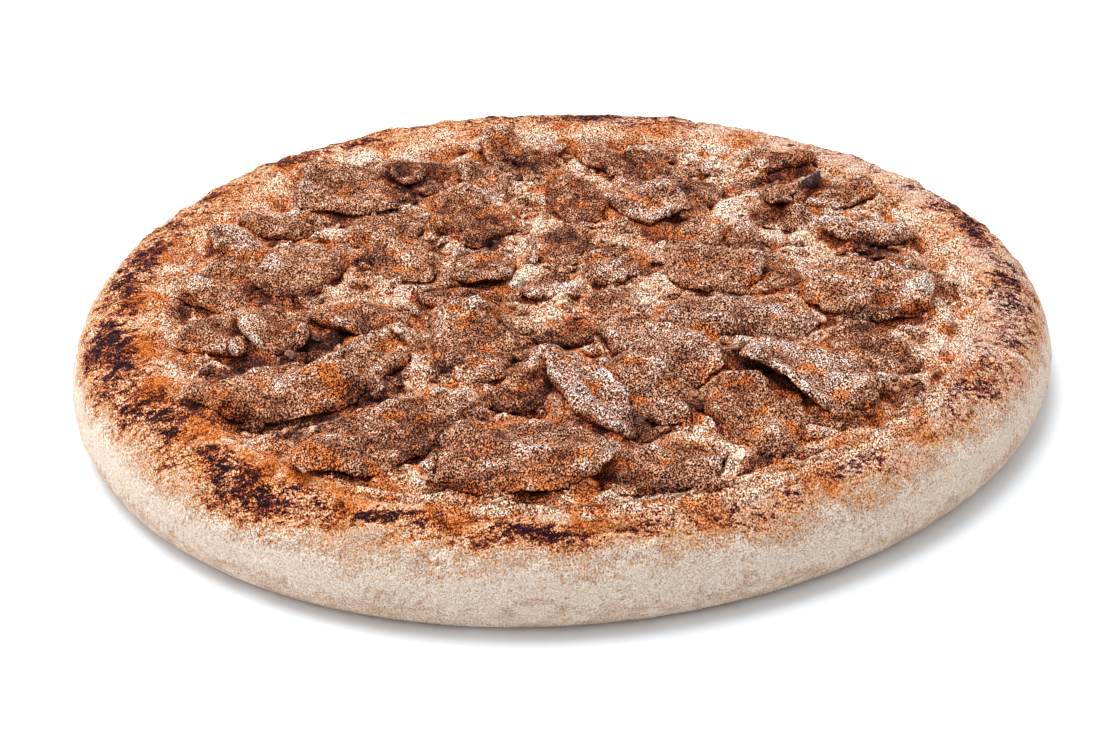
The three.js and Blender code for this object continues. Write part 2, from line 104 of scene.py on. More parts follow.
# Orange oil from the meat, with tomato sauce in it.
OIL = (
    (-31, 93, 6), (-25, -106, 6), (6, 92, 5), (0, 73, 5), (-43, -99, 7), (-18, -72, 5), (3, -15, 6, 0.7),
    (8, 40, 5, 0.8), (-99, -32, 5), (-56, 26, 5, 0.8), (-15, 50, 6), (81, -72, 6), (-13, 41, 6), (18, 53, 5),
    (21, 96, 5, 0.8), (-89, 44, 5, 0.8), (30, 30, 4), (-46, -20, 5), (-3, 54, 5), (-97, 26, 6), (67, 73, 5),
    (38, 46, 4), (-20, -4, 5), (-43, 33, 5, 0.8), (-33, 74, 5), (-68, -82, 7), (-57, -8, 4), (-80, 32, 4),
    (-98, 17, 5), (67, -83, 6), (-80, 59, 5), (3, -45, 5), (25, -81, 5), (-24, 83, 6), (38, -50, 6),
    (-84, -60, 6), (-14, -68, 5), (-53, -60, 6, 0.7), (62, -38, 4, 0.7), (-92, -48, 6), (50, -94, 6),
    (-60, -92, 8), (-8, -103, 8), (5, -20, 5, 0.8), (88, 8, 4, 0.7), (68, 2, 4, 0.7), (-88, -70, 9),
    (-72, -87, 9), (-100, -50, 8), (-107, -28, 8), (-110, -3, 8), (-50, -103, 8), (-27, -112, 7),
    (4, -115, 6), (32, -112, 6, 0.8), (60, -99, 6, 0.8), (-106, 30, 8, 0.8), (-92, 62, 8, 0.6),
    (84, -78, 6, 0.7), (54, 92, 7, 0.7), (30, 102, 7, 0.8), (4, 106, 7, 0.8), (-26, 102, 7, 0.8),
    (-50, 92, 7, 0.8), (98, -54, 6, 0.6), (104, 26, 6, 0.5), (-76, 78, 7, 0.7),
)

# Where the meat is seared dark, and painted shade in the deepest gaps.
SEARED_AND_GAP_SHADE = (
    (-3, -28, 7), (81, -21, 8), (-51, 22, 5), (84, 19, 7), (-13, 83, 6), (-49, -54, 6, 0.8), (-69, -70, 6),
    (-87, -38, 8, 0.7), (-62, 47, 5, 0.7), (-35, 70, 6, 0.7), (82, -37, 7, 0.9), (30, 24, 7, 0.8),
    (-33, -82, 6, 0.8), (-67, 0, 5, 0.8), (-79, -67, 5, 0.6), (-9, 55, 6, 0.7), (-67, -30, 7, 0.6),
    (16, 41, 4), (-50, -24, 4), (48, -51, 5), (-22, -6, 6, 0.8), (55, 67, 5), (-31, -40, 5), (48, -87, 5),
    (-72, -24, 7, 0.6), (-48, 70, 4), (-45, 55, 5, 0.7), (18, -72, 5, 0.7), (65, 72, 5), (0, 34, 4),
    (-95, -35, 5), (-40, -42, 5, 0.7), (1, -72, 5, 0.6), (-18, 31, 4), (36, 59, 4), (71, 55, 5),
    (-13, -108, 5), (24, -101, 5, 0.7), (-22, -62, 8, 0.5), (-58, -66, 9, 0.4), (-102, -6, 4, 0.8),
)

# Where pale grains lie thickest on the meat.
FROSTED = (
    (81, -3, 10), (70, 8, 8, 0.8), (55, -38, 10), (68, -46, 8), (6, -58, 7), (8, -40, 7), (20, -58, 6, 0.7),
    (-40, -20, 7, 0.8), (-28, -14, 7), (-4, -80, 12, 0.8), (53, -18, 6, 0.7), (40, 14, 8, 0.8), (60, 16, 7),
    (75, 50, 8, 0.7), (50, 5, 7, 0.7), (-65, 28, 7, 0.8), (-78, -50, 8, 0.6), (-72, 55, 7, 0.6),
    (-56, 62, 8, 0.6), (-20, 62, 6, 0.6), (14, 78, 6, 0.5), (84, 60, 7, 0.8), (40, -25, 7, 0.8),
    (-90, -28, 6, 0.5), (-35, 8, 7, 0.6), (16, 12, 6, 0.8), (64, -60, 6, 0.5), (-45, -72, 7, 0.5),
    (100, 0, 5, 0.6), (88, -60, 6, 0.7), (-92, 34, 5, 0.7),
)

# How a slice of meat looks: how thickly pale grains lie on it, how brown it is, and how much orange oil has
# soaked its flanks. A slice that isn't listed has the usual look.
USUAL, PLAIN, FROSTED_OVER, BROWNED = (0.2, 0.2, 0.5), (0.05, -0.25, 0.3), (0.55, 0.4, 0.4), (0.15, 0.8, 0.9)
SLICE_LOOKS = {
    **dict.fromkeys((
        "front_left_broad", "left_tan_back", "left_tan_front", "right_pale", "right_broad", "back_grey",
        "left_grey", "left_near", "front_right_tapered",
    ), PLAIN),
    **dict.fromkeys((
        "front_right_broad", "front_tongue", "front_mate", "right_wing", "middle_long", "right_far",
        "middle_square", "back_round", "back_right_frosted", "left_dark",
    ), FROSTED_OVER),
    **dict.fromkeys((
        "middle_orange", "back_curl", "back_pink", "left_curl", "front_lobe", "right_edge",
        "front_right_edge", "middle_hole_edge", "back_strip", "back_brown", "back_middle", "back_slab",
    ), BROWNED),
}


def linear(hex_colour):
    """An sRGB hex colour as linear red, green and blue, with alpha 1."""
    channels = [int(hex_colour[i:i + 2], 16) / 255 for i in (0, 2, 4)]
    return (*(c / 12.92 if c <= 0.04045 else ((c + 0.055) / 1.055) ** 2.4 for c in channels), 1.0)


def length(name, description, millimetres):
    return bpy.props.FloatProperty(
        name=name, description=description, default=millimetres * MM, min=0, unit="LENGTH"
    )


def colour(name, description, hex_colour):
    return bpy.props.FloatVectorProperty(
        name=name, description=description, default=linear(hex_colour), size=4, min=0, max=1, subtype="COLOR"
    )


class PizzaSizes(bpy.types.PropertyGroup):
    """Sizes of the pizza."""

    crust_radius: length("Crust radius", "Out to the bulge of the side wall", 130)
    crust_height: length("Crust height", "Underside to the crown of the rim", 24.6)
    waist_height: length("Waist height", "Where the side wall bulges most", 8.8)
    base_radius: length("Base radius", "Edge of the flat underside", 122.5)
    crown_radius: length("Crown radius", "Top of the rim", 113)
    lip_radius: length("Lip radius", "Where the rim breaks off to the hollow", 105.5)
    lip_height: length("Lip height", "Height of that edge", 23.9)
    hollow_radius: length("Hollow radius", "Foot of the hollow's wall", 101)
    hollow_floor: length("Hollow floor", "Height of the dough under the bed", 17.8)
    bed_level: length("Bed level", "Mean height of the melted cheese", 22.1)
    grain: length("Grain", "Size of the fine grains", 0.2)
    crumb: length("Crumb size", "Size of a usual crumb of meat", 4.5)


class PizzaColours(bpy.types.PropertyGroup):
    """Colours of the pizza."""

    flour: colour("Flour", "Palest dough and grains", "EBD9CA")
    dough: colour("Dough", "Pale side of the crust", "CFB4A2")
    toast: colour("Toast", "Pale toasted dough", "DEAD86")
    amber: colour("Amber", "Amber baked dough", "CC7630")
    rust: colour("Rust", "Rust brown baked dough", "93401A")
    scorch: colour("Scorch", "Scorched dough", "4C2028")
    soot: colour("Soot", "Darkest marks on the rim", "26141A")
    frost: colour("Frost", "Pale grains on the meat", "E4D5D1")
    meat: colour("Meat", "Roast meat", "C48E6C")
    browned: colour("Browned meat", "Brown roast meat", "8C4C2A")
    seared: colour("Seared meat", "Nearly burnt meat", "421B11")
    grey: colour("Frosted meat", "Meat under thin frost", "A0735F")
    cheese: colour("Cheese", "Melted cheese", "E2BCA4")
    baked_cheese: colour("Baked cheese", "Browned cheese", "C97E3E")
    oil: colour("Oil", "Orange oil", "CC6A12")
    sauce: colour("Sauce", "Tomato sauce", "7E2E0E")
    # Painted shade: the darkest colour of the ramps, at the bottom of the gaps.
    gap: colour("Gaps", "The bottom of the gaps", "30140A")
    blush: colour("Blush", "Pink dough on the cooler side", "E2BDA8")
    mauve: colour("Mauve", "Dark dough on the cooler side", "A0685A")
    tan: colour("Tan", "Palest of the rusty meat", "D09A6C")
    russet: colour("Russet", "Rusty meat", "9A5226")
    umber: colour("Umber", "Darkest of the rusty meat", "54220F")
    milk: colour("Milk", "Palest crumbs of young cheese", "EDDCCA")
    cream: colour("Cream", "Crumbs of young cheese", "E6D0BA")
    ash: colour("Ash", "Ashy grains on burnt meat", "D8C0BC")
    ember: colour("Ember", "Palest burnt meat", "7E5656")
    char: colour("Char", "Burnt meat", "3E2020")
    coal: colour("Coal", "Darkest burnt meat", "180C0C")


# ---- shapes and meshes ----


def lumps(x, y, size, seed):
    """Smooth lumps from -1 to 1 of a size, the same for the same seed."""
    count = 97
    lattice = np.random.default_rng(seed).uniform(-1, 1, (count, count))
    u, v = x / size, y / size
    i, j = np.floor(u).astype(int), np.floor(v).astype(int)
    s, t = u - i, v - j
    s, t = s * s * (3 - 2 * s), t * t * (3 - 2 * t)

    def corner(di, dj):
        return lattice[(i + di) % count, (j + dj) % count]

    near = corner(0, 0) * (1 - s) + corner(1, 0) * s
    far = corner(0, 1) * (1 - s) + corner(1, 1) * s
    return near * (1 - t) + far * t


def smooth_step(low, high, value):
    share = np.clip((value - low) / (high - low), 0, 1)
    return share * share * (3 - 2 * share)


def patches(x, y, places):
    """How strongly the places cover each point: round patches of a half width, with ragged edges."""
    cover = np.zeros_like(x)
    wobble = 1 + 0.35 * lumps(x, y, 4 * MM, 11)
    for px, py, half_width, *strength in places:
        distance = np.hypot(x - px * MM, y - py * MM) * wobble / (half_width * MM)
        cover = np.maximum(cover, (strength or [1])[0] * (1 - smooth_step(0.5, 1.2, distance)))
    return cover


def set_attribute(mesh, name, values):
    kind, key = ("FLOAT", "value") if np.ndim(values) == 1 else ("FLOAT_VECTOR", "vector")
    layer = mesh.attributes.get(name) or mesh.attributes.new(name, kind, "POINT")
    layer.data.foreach_set(key, np.ravel(values).astype(np.float32))


def each_point(mesh, quantity):
    """The place ("co") or the normal of each point of a mesh."""
    values = np.empty(len(mesh.vertices) * 3, np.float32)
    mesh.vertices.foreach_get(quantity, values)
    return values.reshape(-1, 3)


def add_to_scene(name, mesh):
    piece = bpy.data.objects.new(name, mesh)
    bpy.context.scene.collection.objects.link(piece)
    return piece


def new_object(name, points, faces, attributes_of_points=None):
    """An object from arrays of points and faces, with attributes on its points."""
    mesh = bpy.data.meshes.new(name)
    mesh.from_pydata(points.tolist(), [], faces)
    mesh.validate()
    for key, values in (attributes_of_points or {}).items():
        set_attribute(mesh, key, values)
    mesh.shade_smooth()
    return add_to_scene(name, mesh)


def bake_modifiers(piece):
    """Replaces the piece's mesh with what its modifiers make of it, and removes them."""
    graph = bpy.context.evaluated_depsgraph_get()
    mesh = bpy.data.meshes.new_from_object(piece.evaluated_get(graph), depsgraph=graph)
    piece.modifiers.clear()
    piece.data = mesh
    mesh.shade_smooth()
    return piece


def ring_faces(rings, around):
    """Quads between rings of points that are numbered one after another."""
    ring, step = np.meshgrid(np.arange(rings - 1), np.arange(around), indexing="ij")
    here, after = ring * around + step, ring * around + (step + 1) % around
    return np.stack((here, after, after + around, here + around), -1).reshape(-1, 4).tolist()


def shifted(grid, step):
    return np.roll(grid, step, (0, 1))


def blurred(grid, rounds):
    for _ in range(rounds):
        grid = sum((shifted(grid, step) for step in NEIGHBOURS), grid) / 5
    return grid


# ---- nodes ----


class Formula:
    """A number or vector that nodes work out. It is written as a formula, and each step in it adds a node."""

    def __init__(self, node, output=0):
        self.socket = node.outputs[output]
        self.tree = node.id_data
        self.is_number = self.socket.type == "VALUE"

    def step(self, operation, other=0.0):
        kind = "ShaderNodeMath"
        if not (self.is_number and getattr(other, "is_number", True)):
            kind = "ShaderNodeVectorMath"
            if isinstance(other, float):
                other = (other,) * 3
        return Formula(add_node(self.tree, kind, {0: self, 1: other}, operation=operation))

    def __add__(self, other):
        return self.step("ADD", other)

    def __sub__(self, other):
        return self.step("SUBTRACT", other)

    def __mul__(self, other):
        return self.step("MULTIPLY", other)

    def __truediv__(self, other):
        return self.step("DIVIDE", other)

    def __abs__(self):
        return self.step("ABSOLUTE")

    def at_least(self, other):
        return self.step("MAXIMUM", other)

    __radd__ = __add__
    __rmul__ = __mul__


def feed(node, inputs):
    """Sets a node's inputs, each by its name or number, to a value, or links a formula, node or socket."""
    for key, value in inputs.items():
        if isinstance(value, Formula):
            value = value.socket
        elif isinstance(value, bpy.types.Node):
            value = value.outputs[0]
        if isinstance(value, bpy.types.NodeSocket):
            node.id_data.links.new(value, node.inputs[key])
        else:
            node.inputs[key].default_value = value


def add_node(tree, kind, inputs=None, **settings):
    """Adds a node with its settings and its inputs."""
    node = tree.nodes.new(kind)
    for key, value in settings.items():
        setattr(node, key, value)
    feed(node, inputs or {})
    return node


def noise(place, size, detail, seed=0.0, roughness=0.65):
    """Noise about 0, mostly from -1 to 1, with lumps of a size in metres and finer ones in them."""
    texture = add_node(place.tree, "ShaderNodeTexNoise", {
        "Vector": place, "W": seed, "Scale": 0.5 / size, "Detail": detail, "Roughness": roughness,
    }, noise_dimensions="4D")
    return (Formula(texture) - 0.5) * 5.0


def between(low, high, value):
    """A mask: 0 where the value is under low, 1 where it is over high."""
    return Formula(add_node(value.tree, "ShaderNodeMapRange", {0: value, 1: low, 2: high}))


def shades(colours, depth, **depths):
    """Colours from pale to dark, each given by its name with the depth where it is pure."""
    node = add_node(depth.tree, "ShaderNodeValToRGB", {0: depth})
    stops = node.color_ramp.elements
    while len(stops) < len(depths):
        stops.new(1.0)
    for stop, (name, position) in zip(stops, depths.items()):
        stop.position = position
        stop.color = getattr(colours, name)
    return node


def coats(base, *layers):
    """Colours laid one over another, each where its mask is."""
    under = base
    for over, mask in layers:
        mix = add_node(mask.tree, "ShaderNodeMix", {0: mask, 6: under, 7: over}, data_type="RGBA")
        under = mix.outputs[2]
    return under


def grains(place, sizes):
    """Fine grains, drawn out along Y so that they look round at a slant. Dark ones are the stronger ones."""
    return noise(place * (1.0, 1 / 1.7, 1.0), sizes.grain, 1, 3.0, 0.8).at_least(-0.38)


def grained(tone, grain, amount):
    """The colour with paler and darker grains in it. They keep its hue, and darker ones are richer."""
    value = (1.0 + grain * amount).at_least(0.04)
    richness = (1.0 + 1.4 * grain).at_least(0.95)
    return add_node(grain.tree, "ShaderNodeHueSaturation", {
        "Value": value, "Saturation": richness, "Color": tone,
    })


def finish(shader, look, roughness, specular, *bumps):
    """Gives a shader its colour, sheen and bumps, each of them a pattern and the mm that it stands up."""
    feed(shader, {"Base Color": look, "Roughness": roughness, "Specular IOR Level": specular})
    under = {}
    for height, rise in bumps:
        bump = add_node(height.tree, "ShaderNodeBump", {"Height": height, "Distance": rise * MM, **under})
        under = {"Normal": bump}
    feed(shader, under)


def new_material(name):
    """A material, its shader and the place of each point on the object."""
    material = bpy.data.materials.new(name)
    material.use_nodes = True
    tree = material.node_tree
    tree.nodes.clear()
    shader = add_node(tree, "ShaderNodeBsdfPrincipled", {"IOR": 1.45})
    add_node(tree, "ShaderNodeOutputMaterial", {"Surface": shader})
    return material, shader, Formula(add_node(tree, "ShaderNodeTexCoord"), "Object")


def attributes(tree, names):
    """What the points of a mesh carry under these names."""
    nodes = [add_node(tree, "ShaderNodeAttribute", attribute_name=name) for name in names.split()]
    return [Formula(node, "Fac") for node in nodes]


def topping_look(sizes, colours, place, own_shades, smear, paleness, grit):
    """The colours of a piece of topping: its own base, under the cheese and oil that smear all of it.

    Paleness lifts the piece as a whole, and grit is how strong its grains are. The depth weighs what darkens
    a point (painted shade in gaps, searing that holds painted shade too, and browning) against what makes it
    pale (frost, cheese, and a painted highlight where it stands out).
    """
    cheese, oil, seared, frost, crevice, flank, brown, meaty, peak = attributes(
        place.tree, "cheese oil seared frost crevice flank brown meaty peak"
    )
    lump = noise(place, 5 * MM, 6, 1.0, 0.75)
    patchy = noise(place, 3 * MM, 4, 2.0)
    spots = noise(place, 4 * MM, 4, 8.0)
    fine = grains(place, sizes)
    depth = (
        0.38 * lump + (0.57 - paleness) + fine * (grit * (0.4 + 0.3 * seared + 0.35 * frost)) + 0.18 * brown
        + 0.3 * seared + 0.21 * crevice - 0.21 * peak - 0.16 * frost - 0.16 * cheese
    )
    own = shades(colours, depth, **own_shades)
    base = coats(own, (shades(colours, depth, **MEAT_SHADES), meaty))
    rusty = shades(colours, depth, cheese=0.0, tan=0.3, russet=0.55, umber=0.8, gap=1.0)
    frosted = shades(colours, depth, frost=0.0, grey=0.5, seared=0.85, gap=1.0)
    creamy = shades(colours, depth, flour=0.0, cheese=0.4, baked_cheese=0.7, sauce=0.9, gap=1.0)
    oily = shades(colours, depth, cheese=0.0, amber=0.25, oil=0.48, sauce=0.74, gap=1.0)
    look = coats(
        base,
        (rusty, 0.6 * between(-0.1, 0.6, noise(place, 5 * MM, 4, 9.0))),
        (frosted, 0.85 * (frost + 0.5 * seared) * between(-0.6, 0.4, patchy)),
        (creamy, smear * cheese * between(-0.5, 0.4, noise(place, 2.5 * MM, 3, 5.0))),
        (oily, 0.8 * (flank + 0.5 * crevice) * between(-0.35, 0.5, patchy)),
        (oily, smear * oil * between(-0.7, 0.2, patchy - 0.8 * peak)),
        (oily, between(0.28, 0.6, spots + 0.5 * crevice - 0.5 * peak)),
    )
    return grained(look, fine, -1.4 * grit), lump, fine


def baked_dough(sizes, colours):
    """Bread dough, baked on stone: matt and dry, pale where only the oven's air browned it, with toasted
    grains and nearly black scorch marks where the heat was on it."""
    material, shader, place = new_material("baked_bread_dough")
    toast, scorch, oil, lip, crevice, blush, peak, smeared = attributes(
        place.tree, "toast scorch oil lip crevice blush peak smeared"
    )
    combed = place * (1 / 1.8, 1.0, 1.0)
    blotch = noise(combed, 3.5 * MM, 6, 7.0, 0.75)
    clouds = noise(combed, 3 * MM, 6, 13.0, 0.8)
    grit = noise(combed, 0.75 * MM, 4, 11.0, 0.8)
    fine = grains(place, sizes)
    specks = between(0.52, 0.62, grit + 0.25 * toast + 0.4 * scorch)
    burnt = between(0.62, 0.92, scorch + 0.4 * blotch)
    smudges = between(0.3, 0.9, noise(combed, 4 * MM, 3, 12.0))
    cracks = between(0.04, 0.0, abs(noise(place, 5 * MM, 3, 14.0)))
    cracks = cracks * between(0.3, 0.7, noise(place, 6 * MM, 1, 15.0))
    # The depth also holds painted shade in gaps and a painted highlight where the crust stands out. Along the
    # ridge of the lip it is paler and smoother: its own paler colour with a painted highlight on it.
    depth = (
        0.06 + 0.12 * toast + 0.3 * scorch + 0.22 * burnt + specks * (0.26 + 0.22 * scorch) + 0.25 * crevice
        - 0.15 * peak - 0.05 * lip + 0.12 * smudges + 0.13 * clouds + 0.4 * cracks
        + blotch * (0.03 + 0.3 * toast - 0.2 * lip) + fine * (0.03 + 0.07 * toast + 0.3 * scorch)
    )
    warm = shades(
        colours, depth, flour=0.0, dough=0.12, toast=0.3, amber=0.48, rust=0.62, scorch=0.78, soot=0.94
    )
    cool = shades(colours, depth, flour=0.0, dough=0.12, blush=0.4, mauve=0.64, scorch=0.78, soot=0.94)
    oiled = shades(colours, depth, cheese=0.0, amber=0.15, oil=0.4, sauce=0.7, gap=1.0)
    blushing = blush * between(-0.8, 0.4, noise(place, 9 * MM, 2, 5.0))
    look = coats(
        warm,
        (cool, blushing.at_least(0.8 * between(0.3, 0.05, scorch))),
        (oiled, oil * between(-1.1, -0.1, noise(combed, 3 * MM, 3, 4.0))),
    )
    look = grained(look, fine, -0.12 * toast - 0.9 * scorch - 0.04)
    topping = topping_look(sizes, colours, place, CHEESE_SHADES, 1.0, 0.03, 0.9)[0]
    finish(shader, coats(look, (topping, smeared)), 0.85, 0.1, (blotch, -0.25), (fine, -0.25))
    return material


def cheese_and_sauce(sizes, colours):
    """Grated cheese melted into tomato sauce: slightly greasy, cream where it is thick, orange with oil and
    red brown with sauce where it is thin."""
    material, shader, place = new_material("melted_cheese_and_sauce")
    look, lump, fine = topping_look(sizes, colours, place, CHEESE_SHADES, 1.0, 0.12, 0.9)
    finish(shader, look, 0.6, 0.25, (lump, 0.3), (fine, -0.35))
    return material


def roast_meat(sizes, colours):
    """Minced and roasted kebab meat, sliced thin: grainy and matt, tan to grey brown, with seared patches
    that hold painted shade in the deepest gaps, flanks soaked with orange oil and pale grains of frost on
    top."""
    material, shader, place = new_material("roast_kebab_meat")
    look, lump, fine = topping_look(sizes, colours, place, MEAT_SHADES, 0.85, 0.0, 1.0)
    fibre = Formula(add_node(place.tree, "ShaderNodeAttribute", attribute_name="flow"), "Vector")
    streak = noise(fibre, 1.3 * MM, 3, 6.0)
    look = coats(look, (colours.seared, 0.25 * between(0.1, 0.9, streak)))
    finish(shader, look, 0.7, 0.12, (streak, 0.3), (lump, 0.3), (fine, -0.35))
    return material


def melted_crumb(sizes, colours):
    """Crumbs of young cheese that kept their shape: cream white, smooth, with a soft sheen."""
    material, shader, place = new_material("cheese_crumbs")
    young = {"milk": 0.0, "cream": 0.4, "cheese": 0.7, "baked_cheese": 1.0}
    look, lump, fine = topping_look(sizes, colours, place, young, 0.5, 0.08, 0.4)
    finish(shader, look, 0.5, 0.5, (lump, 0.2), (fine, -0.06))
    return material


def charred_meat(sizes, colours):
    """A burnt flake: nearly black, dry, with ashy grains."""
    material, shader, place = new_material("charred_meat")
    lump = noise(place, 1.2 * MM, 3, 1.0)
    fine = noise(place, sizes.grain, 2, 3.0, 0.8)
    look = shades(colours, 0.5 + 0.25 * lump + 0.4 * fine, ash=0.0, ember=0.3, char=0.6, coal=1.0)
    finish(shader, look, 0.6, 0.5, (lump, 0.8), (fine, -0.3))
    return material


# ---- geometry nodes ----


def new_tree(name, *sockets):
    """A geometry nodes tree with these inputs, each a name and a kind, and the node that gives them out."""
    tree = bpy.data.node_groups.new(name, "GeometryNodeTree")
    tree.is_modifier = True
    for socket, kind in (("Geometry", "Geometry"), *sockets, ("Material", "Material")):
        tree.interface.new_socket(socket, in_out="INPUT", socket_type=f"NodeSocket{kind}")
    tree.interface.new_socket("Geometry", in_out="OUTPUT", socket_type="NodeSocketGeometry")
    return tree, add_node(tree, "NodeGroupInput")


def end_tree(tree, geometry, inputs):
    """Ends a tree in real geometry that has its material."""
    real = add_node(tree, "GeometryNodeRealizeInstances", {0: geometry})
    material = inputs.outputs["Material"]
    shown = add_node(tree, "GeometryNodeSetMaterial", {"Geometry": real, "Material": material})
    add_node(tree, "NodeGroupOutput", {0: shown})


def run_tree(piece, tree, values):
    """Lets a tree make the piece's mesh anew, with these values for its named inputs."""
    modifier = piece.modifiers.new(tree.name, "NODES")
    modifier.node_group = tree
    for item in tree.interface.items_tree:
        if item.in_out == "INPUT" and item.name in values:
            modifier[item.identifier] = values[item.name]
    return bake_modifiers(piece)


def carried(tree, name, kind):
    """An attribute that the points of the mesh carry."""
    return Formula(add_node(tree, "GeometryNodeInputNamedAttribute", {"Name": name}, data_type=kind))


def relief_tree():
    """Geometry nodes that raise lumps on a surface, scaled by its own relief attribute. Broad lumps and crags
    are drawn out along the surface's flow, and the ragged layer also moves it sideways."""
    if "surface_relief" in bpy.data.node_groups:
        return bpy.data.node_groups["surface_relief"]
    measures = [(f"{layer} {measure}", "Float") for layer in RELIEF_LAYERS for measure in ("size", "height")]
    tree, inputs = new_tree("surface_relief", *measures, ("Seed", "Float"))
    place = Formula(add_node(tree, "GeometryNodeInputPosition"))
    normal = Formula(add_node(tree, "GeometryNodeInputNormal"))
    weight = carried(tree, "relief", "FLOAT")
    flow = carried(tree, "flow", "FLOAT_VECTOR")

    def rise(layer, where, output):
        texture = add_node(tree, "ShaderNodeTexNoise", {
            "Vector": where / Formula(inputs, f"{layer} size"), "W": Formula(inputs, "Seed"), "Scale": 0.7,
            "Detail": 2.0,
        }, noise_dimensions="4D")
        centred = Formula(texture, output) - 0.5
        if layer == "Crag":  # folded at its middle, so that round lumps meet in sharp creases
            centred = abs(centred) - 0.07
        return centred * (Formula(inputs, f"{layer} height") * weight * 4.0)

    offset = rise("Ragged", place, "Color")
    for layer, where in (("Broad", flow), ("Crag", flow), ("Fine", place)):
        offset = offset + rise(layer, where, "Fac") * normal
    moved = add_node(tree, "GeometryNodeSetPosition", {
        "Geometry": inputs.outputs["Geometry"], "Offset": offset,
    })
    end_tree(tree, moved, inputs)
    return tree


def add_relief(piece, seed, material, **layers):
    """Raises the piece's relief and gives it its material. Each layer is its size and height in mm."""
    values = {"Seed": float(seed), "Material": material}
    for layer in RELIEF_LAYERS:
        size, height = layers.get(layer.lower(), (10, 0))
        values[f"{layer} size"], values[f"{layer} height"] = size * MM, height * MM
    run_tree(piece, relief_tree(), values)


def crumb_tree():
    """Geometry nodes that scatter crumbs on the open parts of a surface and make each one uneven."""
    measures = [(name, "Float") for name in ("Apart", "Density", "Size", "Flatness", "Unevenness", "Sinking")]
    tree, inputs = new_tree("crumbs_on_a_bed", *measures, ("Fineness", "Int"), ("Seed", "Int"))
    size = Formula(inputs, "Size")
    seed = inputs.outputs["Seed"]
    spread = add_node(tree, "GeometryNodeDistributePointsOnFaces", {
        "Mesh": inputs.outputs["Geometry"], "Distance Min": Formula(inputs, "Apart"), "Seed": seed,
        "Density Max": Formula(inputs, "Density"), "Density Factor": carried(tree, "open", "FLOAT"),
    }, distribute_method="POISSON")
    ball = add_node(tree, "GeometryNodeMeshIcoSphere", {
        "Radius": 0.5, "Subdivisions": inputs.outputs["Fineness"],
    })

    def anything(least, most):
        return Formula(add_node(tree, "FunctionNodeRandomValue", {
            0: least, 1: most, "Seed": seed,
        }, data_type="FLOAT_VECTOR"))

    turn = anything((-0.35, -0.35, 0.0), (0.35, 0.35, 2 * math.pi))
    shape = anything((0.7, 0.45, 0.5), (1.7, 1.0, 0.9))
    flat = Formula(add_node(tree, "ShaderNodeCombineXYZ", {0: 1.0, 1: 1.0, 2: Formula(inputs, "Flatness")}))
    placed = add_node(tree, "GeometryNodeInstanceOnPoints", {
        "Points": spread, "Instance": ball, "Rotation": turn, "Scale": shape * flat * size,
    })
    real = add_node(tree, "GeometryNodeRealizeInstances", {0: placed})
    place = Formula(add_node(tree, "GeometryNodeInputPosition"))
    rough = add_node(tree, "ShaderNodeTexNoise", {
        "Vector": place / (0.7 * size), "Scale": 1.0, "Detail": 2.0,
    })
    jolt = (Formula(rough, "Color") - 0.5) * (size * Formula(inputs, "Unevenness"))
    sunk = Formula(add_node(tree, "ShaderNodeCombineXYZ", {2: Formula(inputs, "Sinking")}))
    uneven = add_node(tree, "GeometryNodeSetPosition", {"Geometry": real, "Offset": jolt - sunk})
    end_tree(tree, uneven, inputs)
    return tree


# ---- crust ----


def outline(angle):
    return 1 + sum(c * np.cos(waves * angle) + s * np.sin(waves * angle) for waves, c, s in OUT_OF_ROUND)


def outline_middle(sizes):
    """The middle of the outline's bounding box, which the solids have at their origin."""
    angle = np.linspace(0, 2 * math.pi, 2000)
    reach = sizes.crust_radius * outline(angle)
    x, y = reach * np.cos(angle), reach * np.sin(angle)
    return np.array((x.min() + x.max(), y.min() + y.max())) / 2


def crust_section(sizes):
    """Rows of radius, height and share of the hollow's shift, from the underside over the rim inwards."""
    base = np.array((sizes.base_radius, 0, 0))
    bulge = np.array((sizes.crust_radius, sizes.waist_height, 0))
    crown = np.array((sizes.crown_radius, sizes.crust_height, 0))
    lip = np.array((sizes.lip_radius, sizes.lip_height, 1))
    foot = np.array((sizes.hollow_radius, sizes.hollow_floor, 1))
    swing = np.linspace(0, math.pi / 2, 17)[:, None]
    lower = base + (bulge - base) * np.hstack((np.sin(swing), 1 - np.cos(swing), swing))
    swing = np.linspace(0, math.pi / 2, 40)[1:, None]
    upper = bulge + (crown - bulge) * np.hstack((1 - np.cos(swing), np.sin(swing), swing))
    share = np.linspace(0, 1, 16)[1:, None]
    shelf = crown + (lip - crown) * np.hstack((share, share ** 2, share))
    wall = lip + (foot - lip) * np.linspace(0, 1, 12)[1:, None]
    section = np.vstack((lower, upper, shelf, wall))
    for _ in range(8):  # rounds the lip
        section[20:-2] = (section[19:-3] + 2 * section[20:-2] + section[21:-1]) / 4
    underside = [(sizes.base_radius * share, 0, 0) for share in (0.33, 0.67)]
    hollow = [(sizes.hollow_radius * share, sizes.hollow_floor, 1) for share in (0.67, 0.33)]
    return np.vstack((underside, section, hollow))


def scorched(angle, inset):
    """How strongly the rim is scorched at an angle and at a distance in from the bulge."""
    strength = np.zeros(np.broadcast(angle, inset).shape)
    for middle, half_width, depth, reach, amount in SCORCHED:
        away = np.abs((np.degrees(angle) - middle + 180) % 360 - 180) / half_width
        across = np.abs(inset - depth * MM) / (reach * MM)
        strength = np.maximum(strength, amount * np.exp(-away ** 2 - across ** 2))
    return strength


def in_front(sine):
    """How much of a place's direction from the middle is to the front, where a trough runs along the rim."""
    return smooth_step(0.1, -0.6, sine)


